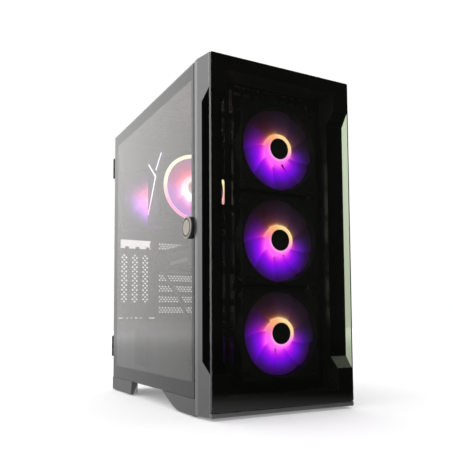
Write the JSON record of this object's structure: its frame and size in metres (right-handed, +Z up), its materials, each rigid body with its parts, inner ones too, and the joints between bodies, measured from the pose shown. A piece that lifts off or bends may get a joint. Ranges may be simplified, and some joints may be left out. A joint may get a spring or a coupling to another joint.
{
  "type": "desktop computer tower",
  "caption": "Mid tower computer case with hinged glass door, tinted glass front over lit fans, perforated rear slots and four feet.",
  "frame": {"origin": "on the floor, under the middle of the case (the knob and thumbscrews make the box's middle 2 mm off)", "axes": "+X to the right as seen from the front, +Y from the front glass to the rear, +Z up"},
  "size_m": [0.2366, 0.401, 0.4654],
  "materials": {
    "moulded_black": "fine moulded texture, black",
    "tinted_glass": "tempered, dark tint, polished",
    "printed_black": "opaque printed band behind the glass",
    "black_steel": "black powder coat",
    "black_rubber": "soft black",
    "socket_steel": "stamped socket shells",
    "circuit_board": "black solder mask with copper traces",
    "button_black": "smooth",
    "knob_metal": "satin turned cap, dark groove",
    "screw_steel": "zinc plated",
    "screw_black": "black oxide, knurled",
    "filter_mesh": "fine black nylon mesh",
    "fan_black": "matt moulding",
    "frosted_blades": "frosted translucent, lit from the hub",
    "fin_aluminium": "thin black-coated fins",
    "pipe_nickel": "nickel-plated copper",
    "light_strip": "white diffuser, lit",
    "socket_plastic": "black nylon",
    "memory_aluminium": "dark anodised spreaders",
    "dark_aluminium": "dark anodised",
    "card_steel": "back plate and bracket",
    "card_blades": "black blades",
    "drive_aluminium": "cast and stamped drive body",
    "cable_sleeve": "braided sleeve"
  },
  "bodies": {
    "case": {"chassis_base": "black_steel", "rear_panel": "black_steel", "front_wall": "black_steel", "top_panel": "black_steel", "motherboard_tray": "black_steel", "cable_grommets": "black_rubber", "psu_shroud": "black_steel", "top_trim": "moulded_black", "front_sockets": "socket_steel", "socket_board": "circuit_board", "slot_covers": "black_steel", "case_feet": "moulded_black", "foot_pads": "black_rubber", "case_hinge_leaves": "black_steel", "hinge_pins": "screw_steel", "front_fan_frames": "fan_black", "rear_fan_frame": "fan_black", "cpu_fan_frame": "fan_black", "cooler_fins": "fin_aluminium", "cooler_pipes": "pipe_nickel", "cooler_cover": "moulded_black", "cooler_light": "light_strip", "motherboard": "circuit_board", "screws_and_standoffs": "screw_steel", "board_sockets": "socket_plastic", "memory_sticks": "memory_aluminium", "board_heatsinks": "dark_aluminium", "rear_ports": "socket_steel", "graphics_card_board": "card_steel", "graphics_card_shroud": "moulded_black", "graphics_card_heatsink": "fin_aluminium", "psu_case": "black_steel", "psu_inlet": "socket_plastic", "drive_cage": "black_steel", "drive_trays": "moulded_black", "hard_drive": "drive_aluminium", "internal_cables": "cable_sleeve"},
    "front_panel": {"front_bezel": "moulded_black", "front_glass": "tinted_glass"},
    "glass_door": {"door_glass": "tinted_glass", "door_border": "printed_black", "door_knob": "knob_metal", "knob_screw": "screw_steel", "door_hinge_leaves": "black_steel"},
    "right_side_panel": {"right_panel": "black_steel", "thumbscrews": "screw_black"},
    "top_dust_filter": {"top_filter_frame": "moulded_black", "top_filter_mesh": "filter_mesh"},
    "psu_dust_filter": {"psu_filter": "moulded_black"},
    "power_button": {"power_button": "button_black"},
    "reset_button": {"reset_button": "button_black"},
    "psu_switch": {"psu_switch": "button_black"},
    "front_fan_rotor_1": {"front_fan_rotor_1": "frosted_blades"},
    "front_fan_rotor_2": {"front_fan_rotor_2": "frosted_blades"},
    "front_fan_rotor_3": {"front_fan_rotor_3": "frosted_blades"},
    "rear_fan_rotor": {"rear_fan_rotor": "frosted_blades"},
    "cpu_fan_rotor": {"cpu_fan_rotor": "frosted_blades"},
    "graphics_fan_rotor_1": {"graphics_fan_rotor_1": "card_blades"},
    "graphics_fan_rotor_2": {"graphics_fan_rotor_2": "card_blades"},
    "psu_fan_rotor": {"psu_fan_rotor": "card_blades"}
  },
  "joints": [
    {"name": "door_swing", "type": "hinge", "parent": "case", "child": "glass_door", "pos_m": [-0.1135, 0.1965, 0.245], "axis": [0, 0, -1], "range_deg": [0, 110]},
    {"name": "front_panel_pull", "type": "slide", "parent": "case", "child": "front_panel", "axis": [0, -1, 0], "range_m": [0, 0.06]},
    {"name": "right_panel_slide", "type": "slide", "parent": "case", "child": "right_side_panel", "axis": [0, 1, 0], "range_m": [0, 0.02]},
    {"name": "top_filter_lift", "type": "slide", "parent": "case", "child": "top_dust_filter", "axis": [0, 0, 1], "range_m": [0, 0.04]},
    {"name": "psu_filter_slide", "type": "slide", "parent": "case", "child": "psu_dust_filter", "axis": [0, 1, 0], "range_m": [0, 0.14]},
    {"name": "power_button_press", "type": "slide", "parent": "case", "child": "power_button", "axis": [0, 0, -1], "range_m": [0, 0.0016], "stiffness_N_per_m": 900},
    {"name": "reset_button_press", "type": "slide", "parent": "case", "child": "reset_button", "axis": [0, 0, -1], "range_m": [0, 0.0016], "stiffness_N_per_m": 500},
    {"name": "psu_switch_rock", "type": "hinge", "parent": "case", "child": "psu_switch", "pos_m": [0.006, 0.189, 0.09], "axis": [0, 0, 1], "range_deg": [0, 17.7]},
    {"name": "front_fan_spin_1", "type": "hinge", "parent": "case", "child": "front_fan_rotor_1", "pos_m": [0, -0.174, 0.1051], "axis": [0, 1, 0], "continuous": true},
    {"name": "front_fan_spin_2", "type": "hinge", "parent": "case", "child": "front_fan_rotor_2", "pos_m": [0, -0.174, 0.2308], "axis": [0, 1, 0], "continuous": true},
    {"name": "front_fan_spin_3", "type": "hinge", "parent": "case", "child": "front_fan_rotor_3", "pos_m": [0, -0.174, 0.3564], "axis": [0, 1, 0], "continuous": true},
    {"name": "rear_fan_spin", "type": "hinge", "parent": "case", "child": "rear_fan_rotor", "pos_m": [-0.0475, 0.176, 0.35], "axis": [0, 1, 0], "continuous": true},
    {"name": "cpu_fan_spin", "type": "hinge", "parent": "case", "child": "cpu_fan_rotor", "pos_m": [0, 0.094, 0.359], "axis": [0, 1, 0], "continuous": true},
    {"name": "graphics_fan_spin_1", "type": "hinge", "parent": "case", "child": "graphics_fan_rotor_1", "pos_m": [0.0185, 0.005, 0.22], "axis": [0, 0, 1], "continuous": true},
    {"name": "graphics_fan_spin_2", "type": "hinge", "parent": "case", "child": "graphics_fan_rotor_2", "pos_m": [0.0185, 0.1, 0.22], "axis": [0, 0, 1], "continuous": true},
    {"name": "psu_fan_spin", "type": "hinge", "parent": "case", "child": "psu_fan_rotor", "pos_m": [0.023, 0.118, 0.035], "axis": [0, 0, 1], "continuous": true}
  ]
}
